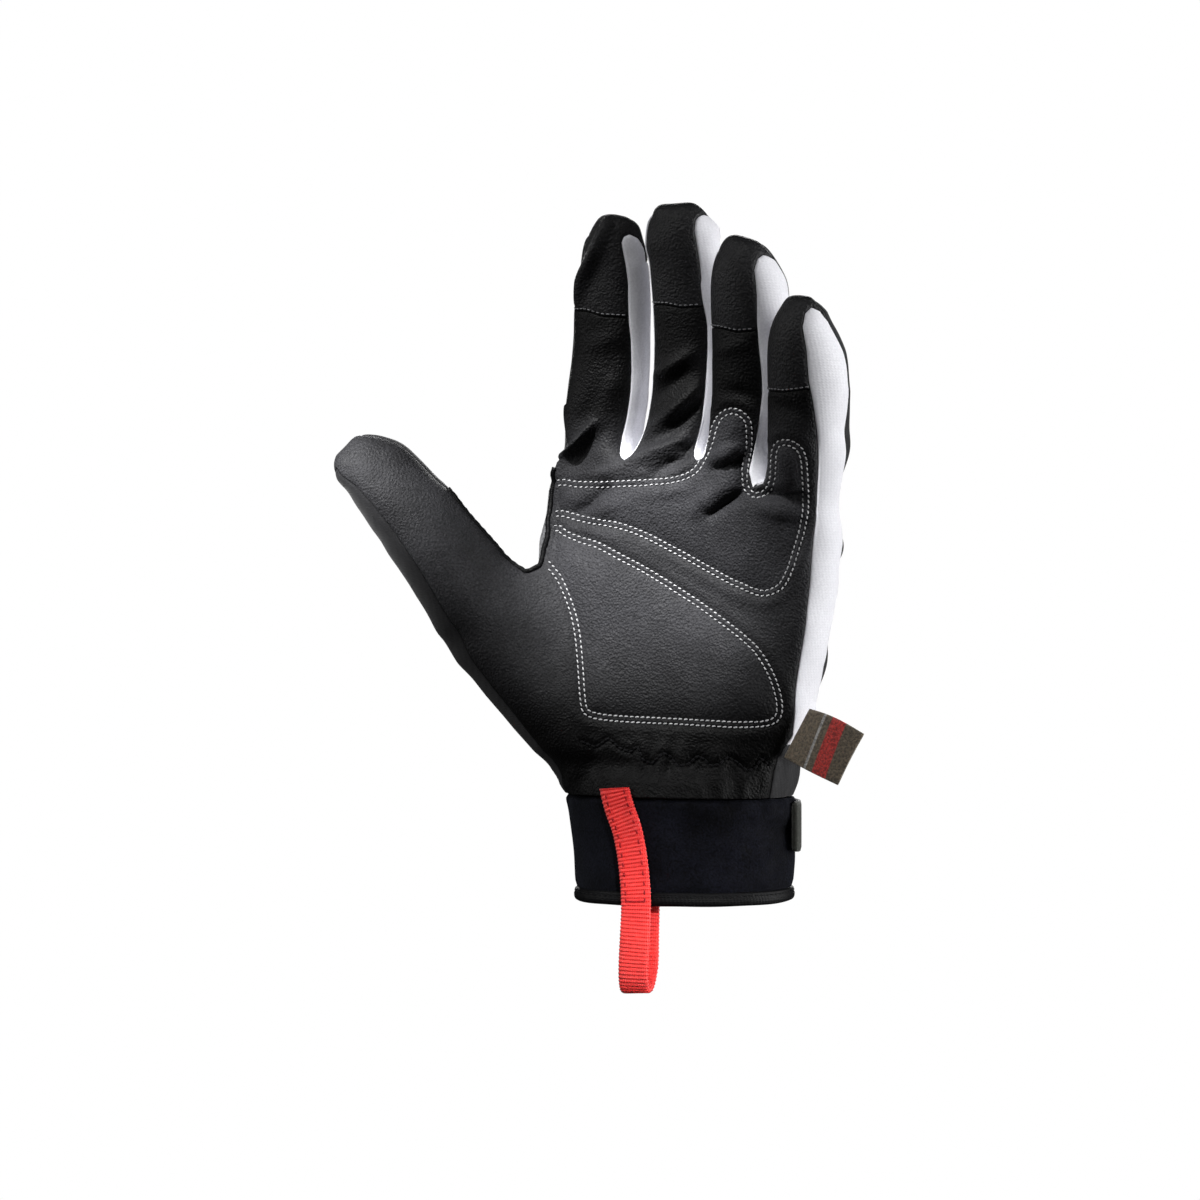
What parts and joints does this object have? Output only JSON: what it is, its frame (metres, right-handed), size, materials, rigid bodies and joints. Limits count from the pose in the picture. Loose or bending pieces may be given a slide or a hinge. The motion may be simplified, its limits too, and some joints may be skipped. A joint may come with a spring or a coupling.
{
  "type": "full-finger cycling glove",
  "caption": "Left-hand full-finger sports glove with padded leather palm, white stretch side walls, elastic wrist, soft cuff with closure strap and a webbing pull loop.",
  "frame": {"origin": "centre of the cuff opening at the hem, where the wrist enters and holds the glove", "axes": "+Z from the cuff to the fingertips, palm facing -Y, little finger toward +X, thumb toward -X"},
  "size_m": [0.1765, 0.0776, 0.2526],
  "materials": {
    "leather": "pebbled black synthetic leather",
    "cap_leather": "smoother black synthetic leather",
    "white_stretch": "smooth matt stretch fabric",
    "back_fabric": "smooth black stretch fabric",
    "mesh": "dark grey air mesh",
    "pad_leather": "pebbled black synthetic leather over thin foam",
    "neoprene": "navy-black stretch neoprene",
    "binding": "black folded edge binding",
    "webbing": "red ribbed webbing",
    "label": "olive brown woven tape",
    "strap": "dark olive-black fabric"
  },
  "bodies": {
    "root": {"palm_panel": "leather", "back_panel": "back_fabric", "back_thumb": "back_fabric", "back_index": "back_fabric", "back_middle": "back_fabric", "back_ring": "back_fabric", "back_little": "back_fabric", "fourchette_index_middle": "white_stretch", "fourchette_middle_ring": "white_stretch", "fourchette_ring_little": "white_stretch", "outer_side_panel": "white_stretch", "thumb_gusset": "mesh", "tip_cap_index": "cap_leather", "tip_cap_middle": "cap_leather", "tip_cap_ring": "cap_leather", "tip_cap_little": "cap_leather", "pad_upper": "pad_leather", "pad_lower": "pad_leather", "cuff": "neoprene", "cuff_binding": "binding", "pull_loop": "webbing", "side_label": "label", "closure_strap": "strap"}
  },
  "joints": []
}
